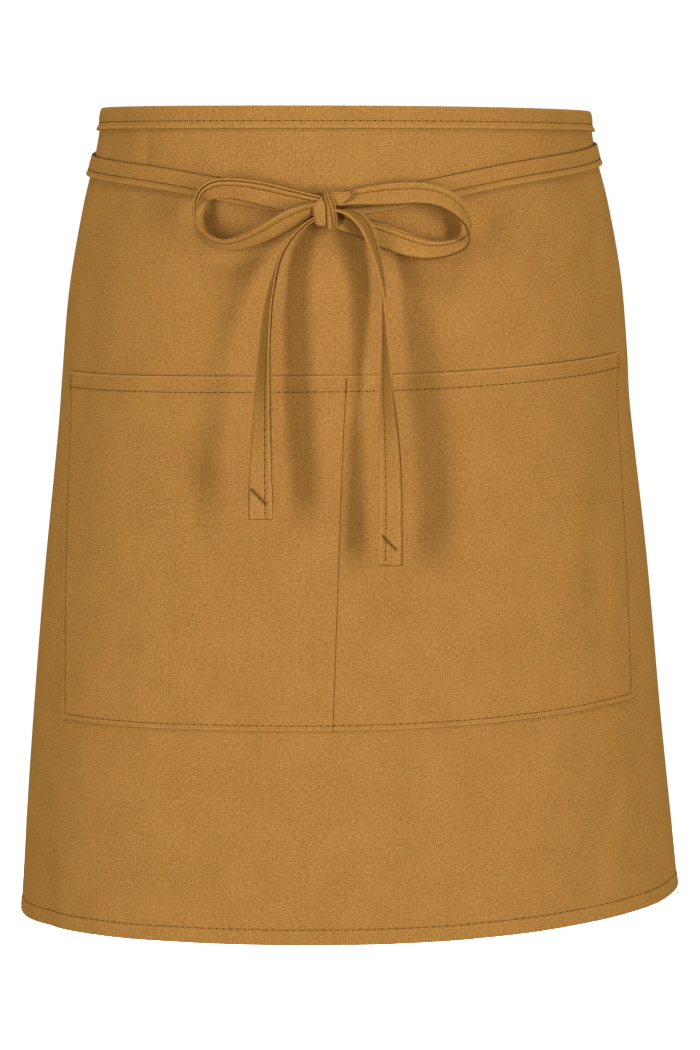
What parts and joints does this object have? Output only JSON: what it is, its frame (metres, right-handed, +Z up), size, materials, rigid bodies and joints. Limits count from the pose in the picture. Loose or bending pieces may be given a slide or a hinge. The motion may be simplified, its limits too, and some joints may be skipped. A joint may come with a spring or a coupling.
{
  "type": "bistro apron",
  "caption": "Half-length cloth apron in its worn form: bound waistband, wide divided patch pocket, and long ties that cross behind the back and make a bow at the front.",
  "frame": {"origin": "middle of the waist hollow, half way up the waistband", "axes": "+Z up along the wearer's body, -Y towards the front of the apron, +X to the right as seen from the front"},
  "size_m": [0.4726, 0.3184, 0.5698],
  "materials": {
    "twill": "matt ochre twill with fine diagonal ribs and brown stitching",
    "binding": "matt ochre twill, folded over the top edge and stitched in brown",
    "tape": "matt ochre twill, folded to a flat tape and stitched in brown"
  },
  "bodies": {
    "root": {"apron_panel": "twill", "waistband": "binding", "pocket": "twill", "tie_left": "tape", "tie_right": "tape", "knot": "tape", "bow_loop_left": "tape", "bow_loop_right": "tape", "tail_left": "tape", "tail_right": "tape"}
  },
  "joints": []
}
